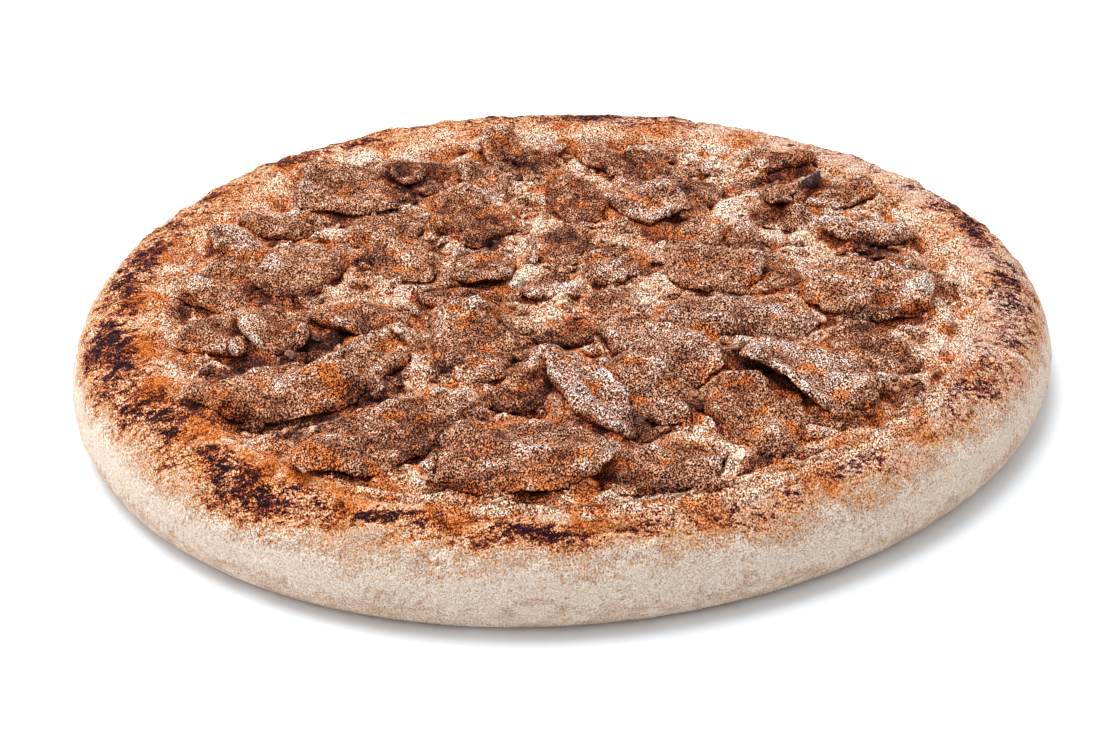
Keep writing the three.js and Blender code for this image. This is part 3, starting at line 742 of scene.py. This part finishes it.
def build_crust(sizes, colours):
    around = 1080
    section = crust_section(sizes)
    angle = np.arange(around) / around * 2 * math.pi
    radius, height, hollow = (column[:, None] for column in section.T)
    reach = radius * (outline(angle) * (1 - hollow) + hollow)
    middle = outline_middle(sizes)
    x = reach * np.cos(angle) + hollow * HOLLOW_SHIFT[0] - middle[0]
    y = reach * np.sin(angle) + hollow * HOLLOW_SHIFT[1] - middle[1]

    # In front a low ridge stands along the lip, with a trough behind it.
    front = in_front(np.sin(angle))
    wavering = radius + 0.8 * MM * lumps(x, y, 7 * MM, 6)
    ridge = front * np.exp(-((wavering - RIDGE_RADIUS) / (1.4 * MM)) ** 2)
    trough = front * np.exp(-((wavering - TROUGH_RADIUS) / (2.2 * MM)) ** 2)
    trough = trough * (height > sizes.hollow_floor + 3 * MM)
    z = height + RIDGE_HEIGHT * ridge - TROUGH_DEPTH * trough

    poles = np.array(((-middle[0], -middle[1], 0), (*(HOLLOW_SHIFT - middle), sizes.hollow_floor)))
    points = np.vstack((np.stack((x, y, z), -1).reshape(-1, 3), poles))
    rings = len(section)
    faces = ring_faces(rings, around)
    first_pole = rings * around
    last_ring = first_pole - around
    for here in range(around):
        after = (here + 1) % around
        faces.append([after, here, first_pole])
        faces.append([last_ring + here, last_ring + after, first_pole + 1])

    inset = sizes.crust_radius - reach / outline(angle)
    ragged = 3 * MM * lumps(x / 2, y, 6 * MM, 1) + 1.5 * MM * lumps(x / 2, y, 2.5 * MM, 2)
    relief = smooth_step(0, 4 * MM, z) * (0.25 + 0.75 * smooth_step(15 * MM, 21 * MM, z))
    relief = relief * (1 - 0.8 * smooth_step(0.8, 1, hollow)) * (1 - 0.6 * ridge)
    relief[:2], relief[-3:] = 0, 0
    smear_edge = radius + 0.6 * ragged - (RIDGE_RADIUS + 0.5 * MM - 2 * MM * front)
    near_floor = 1 - smooth_step(0.5 * MM, 4 * MM, z)
    painted = {
        "toast": smooth_step(12 * MM, 21 * MM, z + 0.6 * ragged) + 0.4 * near_floor,
        "scorch": scorched(angle, inset + ragged) * smooth_step(13 * MM, 19 * MM, z),
        "relief": relief,
        "lip": ridge,
        "blush": smooth_step(-0.2, 0.7, np.cos(angle)),
        "smeared": (1 - smooth_step(-1 * MM, 1.5 * MM, smear_edge)) * (hollow > 0),
    }
    for name, values in painted.items():
        painted[name] = np.append(np.broadcast_to(values, x.shape).reshape(-1), (0, 0))
    crust = new_object("crust_baked", points, faces, {**painted, "flow": points * (1 / 1.8, 1, 1)})
    add_relief(
        crust, 1, baked_dough(sizes, colours), broad=(11, 0.3), crag=(4.5, 1.4), fine=(1.7, 0.3),
        ragged=(3, 0.2),
    )
    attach(crust, "root")
    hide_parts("crust")


# ---- bed of cheese and sauce ----


def slice_nodes():
    return [name for name in sorted(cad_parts) if name not in ("crust", "cheese_sauce_bed")]


def slices_as_tree():
    """All slices of meat as one tree that can be asked what lies over a place."""
    joined = bmesh.new()
    for name in slice_nodes():
        joined.from_mesh(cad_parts[name].data)
    tree = BVHTree.FromBMesh(joined)
    joined.free()
    return tree


def topmost(tree, x, y):
    """Height of the topmost face of a tree at each place, or NaN where none is."""
    down = Vector((0, 0, -1))
    hits = [tree.ray_cast(Vector((px, py, HIGH_ABOVE)), down)[0] for px, py in zip(x, y)]
    return np.array([hit.z if hit else np.nan for hit in hits])


def heaped(tops, spacing, unevenness):
    """How high the cheese is heaped round the slices' edges, on a grid: over their edges at the back, a
    little under them in front, and running down from there, steepest to the front."""
    covered = np.isfinite(tops)
    buried = np.all([shifted(covered, step) for step in NEIGHBOURS], 0)
    slope_x, slope_y = np.gradient(blurred(covered.astype(float), 6))
    behind = smooth_step(-0.3, 0.6, -slope_y / (np.hypot(slope_x, slope_y) + 1e-6))
    heap = np.where(covered & ~buried, tops + (1.0 * behind - 0.2) * MM + unevenness, -1.0)
    for _ in range(HEAP_REACH):
        for step, fall in HEAP_FALLS.items():
            heap = np.maximum(heap, shifted(heap, step) - fall * spacing * math.hypot(*step))
    return heap


def build_bed(sizes, colours):
    spacing = 0.65 * MM
    middle = HOLLOW_SHIFT - outline_middle(sizes)
    half = math.ceil(sizes.crown_radius / spacing)
    steps = np.arange(-half, half + 1) * spacing
    grid_x, grid_y = np.meshgrid(steps, steps, indexing="ij")
    from_middle = np.hypot(grid_x, grid_y)
    edge = sizes.lip_radius + (4 + 1.5 * in_front(grid_y / (from_middle + 1e-6))) * MM
    inside = from_middle < edge
    number = np.full(grid_x.shape, -1)
    number[inside] = np.arange(inside.sum())
    corners = np.stack((number[:-1, :-1], number[1:, :-1], number[1:, 1:], number[:-1, 1:]), -1)
    corners = corners.reshape(-1, 4)
    faces = corners[(corners >= 0).all(1)].tolist()

    # The cheese is uneven, thicker in pale patches and by the rim, and comes to lie on the lip there.
    x, y = grid_x[inside] + middle[0], grid_y[inside] + middle[1]
    to_edge = (edge - from_middle)[inside]
    by_rim = 1 - smooth_step(4 * MM, 15 * MM, to_edge)
    z = sizes.bed_level + 0.9 * MM * lumps(x, y, 7 * MM, 3) + 0.9 * MM * patches(x, y, CHEESE)
    z += (2.2 - 0.9 * in_front(y / (from_middle[inside] + 1e-6))) * MM * by_rim
    top = topmost(slices_as_tree(), x, y)
    tops = np.full(grid_x.shape, np.nan)
    tops[inside] = top
    heap = heaped(tops, spacing, 0.7 * MM * lumps(grid_x, grid_y, 6 * MM, 7))[inside]
    meaty = smooth_step(-1.3 * MM, 0.6 * MM, heap - z + 0.8 * MM * lumps(x, y, 2.5 * MM, 9)) * (1 - by_rim)
    graph = bpy.context.evaluated_depsgraph_get()
    dough = topmost(BVHTree.FromObject(bpy.data.objects["crust_baked"], graph), x, y)
    ragged = 1.6 * MM * lumps(x, y, 7 * MM, 8) + 0.8 * MM * lumps(x, y, 3 * MM, 9)
    smear = 0.5 * MM - 1.3 * MM * (1 - smooth_step(0, 3 * MM, to_edge + ragged))
    on_lip = 1 - smooth_step(5 * MM, 11 * MM, to_edge)
    z = z * (1 - on_lip) + (dough + smear) * on_lip

    # It heaps up round the slices, but no higher than they are, and lies under them elsewhere.
    raised = np.clip(heap - z, 0, 5 * MM) * smooth_step(1 * MM, 4 * MM, to_edge) * (heap < HEAP_TOP + 1 * MM)
    z += np.minimum(raised, np.maximum(HEAP_TOP - z, 0))
    z += (0.5 * MM * lumps(x, y, 4 * MM, 4) + 0.15 * MM * lumps(x, y, 1.5 * MM, 5)) * (1 - on_lip)
    hidden = heap <= top
    z = np.where(hidden, np.minimum(z, top - 1.4 * MM), z)
    free = (1.0 - hidden) * (1 - on_lip)

    bed = new_object("cheese_and_sauce", np.stack((x, y, z), -1), faces, {
        "relief": free, "open": free * smooth_step(4 * MM, 8 * MM, to_edge), "meaty": meaty,
        "flow": np.stack((x / 1.5, y, z), -1),
    })
    close_underneath(bed, sizes.hollow_floor + 0.3 * MM, middle, 0.94)
    add_relief(bed, 2, cheese_and_sauce(sizes, colours), crag=(6, 1.8), fine=(1.6, 0.25), ragged=(4, 0.5))
    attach(bed, "root")
    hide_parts("cheese_sauce_bed")


def close_underneath(piece, height, middle, share):
    """Closes an open sheet with a wall down from its edge and a flat floor, a share as wide as the sheet."""
    work = bmesh.new()
    work.from_mesh(piece.data)
    rim = [edge for edge in work.edges if edge.is_boundary]
    made = bmesh.ops.extrude_edge_only(work, edges=rim)["geom"]
    for vertex in (item for item in made if isinstance(item, bmesh.types.BMVert)):
        vertex.co = (*(middle + share * (np.array(vertex.co.xy) - middle)), height)
    bmesh.ops.holes_fill(work, edges=[edge for edge in made if isinstance(edge, bmesh.types.BMEdge)])
    bmesh.ops.recalc_face_normals(work, faces=work.faces)
    work.to_mesh(piece.data)
    work.free()


# ---- slices of meat and crumbs ----


def build_slice(name, index, meat, charred):
    """One slice: its solid, rounded off, with torn edges, folds, fibres and grains."""
    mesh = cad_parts[name].data.copy()
    work = bmesh.new()
    work.from_mesh(mesh)
    bmesh.ops.remove_doubles(work, verts=work.verts, dist=0.01 * MM)
    work.to_mesh(mesh)
    work.free()
    mesh.materials.clear()
    piece = add_to_scene(f"meat_{name}", mesh)
    piece.modifiers.new("remesh", "REMESH").voxel_size = 0.6 * MM
    piece.modifiers.new("smooth", "SMOOTH").iterations = 2
    bake_modifiers(piece)

    is_char = name == "charred_flake"
    undercut(piece.data)
    lay_fibres(piece.data, index)
    fold = 0.2 if is_char else 0.9
    add_relief(
        piece, 10 + index, charred if is_char else meat, broad=(9, 0.8 * fold), crag=(7, 1.3 * fold),
        fine=(1.6, 0.2), ragged=(7, 1.5 * fold),
    )
    give_look(piece.data, index, SLICE_LOOKS.get(name, USUAL))
    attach(piece, "root")
    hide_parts(name)


def undercut(mesh):
    """Draws the flanks and the underside in, so that the slice ends in a thin edge that hangs over."""
    points = each_point(mesh, "co")
    middle = points.mean(0) * (1, 1, 0)
    below = UNDERCUT * smooth_step(0.6, -0.1, each_point(mesh, "normal")[:, 2:])
    points -= below * (points * (1, 1, 0) - middle)
    mesh.vertices.foreach_set("co", points.ravel())
    mesh.update()


def lay_fibres(mesh, seed):
    """Lays the flow of the fibres along the slice, for its relief and its pattern."""
    points = each_point(mesh, "co")
    centred = points - points.mean(0)
    along = np.linalg.eigh(centred[:, :2].T @ centred[:, :2])[1][:, 1]
    across = np.array((-along[1], along[0]))
    flow = np.stack((centred[:, :2] @ along / 2.5, centred[:, :2] @ across, centred[:, 2]), -1)
    set_attribute(mesh, "flow", flow + np.random.default_rng(seed).uniform(-0.5, 0.5, 3))
    set_attribute(mesh, "relief", np.ones(len(points)))


def give_look(mesh, seed, look):
    """Gives the points of a slice the frost, brownness and oily flanks of its look, no two quite alike."""
    frost, brown, oily = look
    draw = np.random.default_rng(seed)
    up = each_point(mesh, "normal")[:, 2]
    set_attribute(mesh, "frost", frost * smooth_step(0.0, 0.8, up) * draw.uniform(0.7, 1.3))
    set_attribute(mesh, "brown", np.full(len(up), brown * draw.uniform(0.6, 1.4)))
    set_attribute(mesh, "flank", np.clip(oily * (1.3 - 1.2 * smooth_step(0.2, 0.9, up)), 0, 1))


def scatter_crumbs(name, tree, bed, seed, values):
    """Crumbs of one kind on the bed, as one piece."""
    piece = run_tree(add_to_scene(name, bed.data.copy()), tree, values)
    lay_fibres(piece.data, seed)
    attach(piece, "root")
    return piece


# ---- colour zones, painted shade and painted highlights ----


def top_view(pieces, cell):
    """Maps of the height of the topmost point in each cell of a square grid over the pizza: as it is,
    smoothed a little, and smoothed out. With them comes the number of the cell at the origin."""
    count = math.ceil(HALF_MAP / cell)
    heights = np.zeros((2 * count + 1,) * 2)
    for piece in pieces:
        points = each_point(piece.data, "co")
        i, j = (np.round(points[:, k] / cell).astype(int) + count for k in (0, 1))
        np.maximum.at(heights, (i, j), points[:, 2])
    softened = blurred(heights, 5)
    return heights, softened, blurred(softened, 25), count


def shaded_in_front(heights, cell, i, j, z):
    """How far what stands behind each point rises over it, seen at a slant from above: the strength of a
    painted shadow that falls to the front.
    """
    rise = np.zeros(len(z))
    for step in range(1, 6):
        rise = np.maximum(rise, heights[i, j + step] - z - 0.35 * step * cell)
    return rise


def paint_zones():
    """Gives every piece the colour zones where it lies, and how deep in a gap or far out each point is, for
    the painted shade in gaps and the painted highlight on what stands out.
    """
    pieces = [item for item in bpy.data.objects if item.type == "MESH" and item.data.attributes.get("relief")]
    cell = 0.9 * MM
    heights, softened, smoothed, count = top_view(pieces, cell)
    for piece in pieces:
        mesh = piece.data
        x, y, z = each_point(mesh, "co").astype(float).T
        i, j = (np.round(axis / cell).astype(int) + count for axis in (x, y))
        depth = smoothed[i, j] - z
        dip = softened[i, j] - z
        radius = np.hypot(x, y)
        on_top = smooth_step(18 * MM, 22 * MM, z)
        # Painted highlight where a point stands out over what is round it.
        peak = 0.4 * smooth_step(0, 1.5 * MM, -depth) + 0.6 * smooth_step(0, 0.6 * MM, -dip)
        peak *= 1 - 0.75 * on_top * smooth_step(97 * MM, 104 * MM, radius)  # painted highlight, less so along the rim
        # Painted shade in hollows and gaps, and a painted shadow in front of whatever stands up behind.
        crevice = 0.5 * smooth_step(0.2 * MM, 2.2 * MM, depth) + 0.3 * smooth_step(0, 0.7 * MM, dip)
        crevice += 0.9 * smooth_step(0.3 * MM, 2.5 * MM, shaded_in_front(heights, cell, i, j, z))
        if mesh.attributes.get("toast"):  # the side wall of the crust has no gaps, so it gets no painted shade
            crevice *= on_top * smooth_step(124 * MM, 118 * MM, radius)
        frost = np.zeros(len(x), np.float32)
        if mesh.attributes.get("frost"):
            mesh.attributes["frost"].data.foreach_get("value", frost)
        # Where a point stands out, its frost is raised a little more: a painted highlight.
        frost = frost + 0.6 * patches(x, y, FROSTED) * (0.4 + 0.6 * peak) + 0.1 * peak
        # The seared zones hold painted shade in the deepest gaps as well as seared meat.
        for name, places in (("cheese", CHEESE), ("oil", OIL), ("seared", SEARED_AND_GAP_SHADE)):
            set_attribute(mesh, name, patches(x, y, places))
        set_attribute(mesh, "crevice", crevice)
        set_attribute(mesh, "peak", peak)
        set_attribute(mesh, "frost", np.clip(frost, 0, 1))


# ---- studio ----


def add_light(name, power, size, place):
    """A round soft box that shines at the origin."""
    light = bpy.data.lights.new(name, "AREA")
    light.energy = power
    light.shape = "DISK"
    light.size = size
    holder = add_to_scene(name, light)
    holder.location = place
    holder.rotation_euler = (-Vector(place)).to_track_quat("-Z", "Y").to_euler()


def build_floor():
    points = 4.0 * np.array([(-1, -1, 0), (1, -1, 0), (1, 1, 0), (-1, 1, 0)])
    floor = new_object("studio_floor", points, [[0, 1, 2, 3]])
    material, shader, place = new_material("matt_white_board")
    finish(shader, linear("F4FAFF"), 0.9, 0.1, (noise(place, 2 * MM, 1), 0.01))
    floor.data.materials.append(material)


def build_camera():
    """The camera stands in front, 29 degrees above the floor, and leans a little."""
    elevation, lean = math.radians(28.957), math.radians(-1.503)
    target, distance = Vector((-3.584, 0.508, 0)) * MM, 708.92 * MM
    camera = add_to_scene("camera", bpy.data.cameras.new("camera"))
    camera.data.sensor_width = 36
    camera.data.lens = 85.08
    camera.data.clip_start = 0.01
    back = Vector((0, -math.cos(elevation), math.sin(elevation)))
    turn = Matrix.Rotation(math.pi / 2 - elevation, 4, "X") @ Matrix.Rotation(lean, 4, "Z")
    camera.matrix_world = Matrix.Translation(target + back * distance) @ turn
    bpy.context.scene.camera = camera


def build_studio():
    build_floor()
    build_camera()
    add_light("soft_box_above", 20.5, 1.3, (-0.3, 0.35, 1.2))
    add_light("soft_box_left", 4.8, 1.3, (-1.2, 0.0, 0.4))
    world = bpy.data.worlds.new("studio_air")
    world.use_nodes = True
    feed(world.node_tree.nodes["Background"], {"Color": (1, 1, 1, 1), "Strength": 0.745})
    bpy.context.scene.world = world
    bpy.context.scene.view_settings.view_transform = "Standard"


# ---- operators and panel ----


class PIZZA_OT_crust(bpy.types.Operator):
    """Builds the baked crust"""

    bl_idname = "pizza.crust"
    bl_label = "Crust"

    def execute(self, context):
        build_crust(context.scene.pizza_sizes, context.scene.pizza_colours)
        return {"FINISHED"}


class PIZZA_OT_bed(bpy.types.Operator):
    """Builds the bed of cheese and sauce"""

    bl_idname = "pizza.bed"
    bl_label = "Cheese and sauce"

    def execute(self, context):
        build_bed(context.scene.pizza_sizes, context.scene.pizza_colours)
        return {"FINISHED"}


class PIZZA_OT_slices(bpy.types.Operator):
    """Builds the slices of meat"""

    bl_idname = "pizza.slices"
    bl_label = "Slices of meat"

    def execute(self, context):
        sizes, colours = context.scene.pizza_sizes, context.scene.pizza_colours
        meat, charred = roast_meat(sizes, colours), charred_meat(sizes, colours)
        for index, name in enumerate(slice_nodes()):
            build_slice(name, index, meat, charred)
        return {"FINISHED"}


class PIZZA_OT_crumbs(bpy.types.Operator):
    """Scatters crumbs of meat and cheese between the slices"""

    bl_idname = "pizza.crumbs"
    bl_label = "Crumbs"

    def execute(self, context):
        sizes, colours = context.scene.pizza_sizes, context.scene.pizza_colours
        bed = bpy.data.objects["cheese_and_sauce"]
        tree = crumb_tree()
        meat = scatter_crumbs("meat_crumbs", tree, bed, 5, {
            "Apart": 5.5 * MM, "Density": 20000.0, "Size": 1.4 * sizes.crumb, "Flatness": 0.5,
            "Unevenness": 0.9, "Sinking": 0.5 * MM, "Fineness": 3, "Seed": 5,
            "Material": bpy.data.materials["roast_kebab_meat"],
        })
        give_look(meat.data, 5, USUAL)
        scatter_crumbs("cheese_crumbs", tree, bed, 8, {
            "Apart": 4.5 * MM, "Density": 25000.0, "Size": 0.7 * sizes.crumb, "Flatness": 0.7,
            "Unevenness": 1.2, "Sinking": 0.4 * MM, "Fineness": 2, "Seed": 8,
            "Material": melted_crumb(sizes, colours),
        })
        return {"FINISHED"}


class PIZZA_OT_zones(bpy.types.Operator):
    """Gives all pieces the colour zones where they lie"""

    bl_idname = "pizza.zones"
    bl_label = "Colour zones"

    def execute(self, context):
        paint_zones()
        return {"FINISHED"}


class PIZZA_OT_studio(bpy.types.Operator):
    """Sets up the floor, the lights and the camera"""

    bl_idname = "pizza.studio"
    bl_label = "Studio"

    def execute(self, context):
        build_studio()
        return {"FINISHED"}


OPERATORS = (PIZZA_OT_crust, PIZZA_OT_bed, PIZZA_OT_slices, PIZZA_OT_crumbs, PIZZA_OT_zones, PIZZA_OT_studio)


class PIZZA_PT_panel(bpy.types.Panel):
    """Lists the pieces of the pizza and its sizes and colours"""

    bl_idname = "PIZZA_PT_panel"
    bl_label = "Kebab pizza"
    bl_space_type = "VIEW_3D"
    bl_region_type = "UI"
    bl_category = "Pizza"

    def draw(self, context):
        for operator in OPERATORS:
            self.layout.operator(operator.bl_idname)
        for group in (context.scene.pizza_sizes, context.scene.pizza_colours):
            for name in group.__annotations__:
                self.layout.prop(group, name)


CLASSES = (PizzaSizes, PizzaColours, *OPERATORS, PIZZA_PT_panel)


def register():
    for each in CLASSES:
        bpy.utils.register_class(each)
    bpy.types.Scene.pizza_sizes = bpy.props.PointerProperty(type=PizzaSizes)
    bpy.types.Scene.pizza_colours = bpy.props.PointerProperty(type=PizzaColours)


def unregister():
    del bpy.types.Scene.pizza_colours
    del bpy.types.Scene.pizza_sizes
    for each in reversed(CLASSES):
        bpy.utils.unregister_class(each)


def main():
    register()
    bpy.ops.pizza.crust()
    bpy.ops.pizza.bed()
    bpy.ops.pizza.slices()
    bpy.ops.pizza.crumbs()
    bpy.ops.pizza.zones()
    bpy.ops.pizza.studio()


if __name__ == "__main__":
    main()
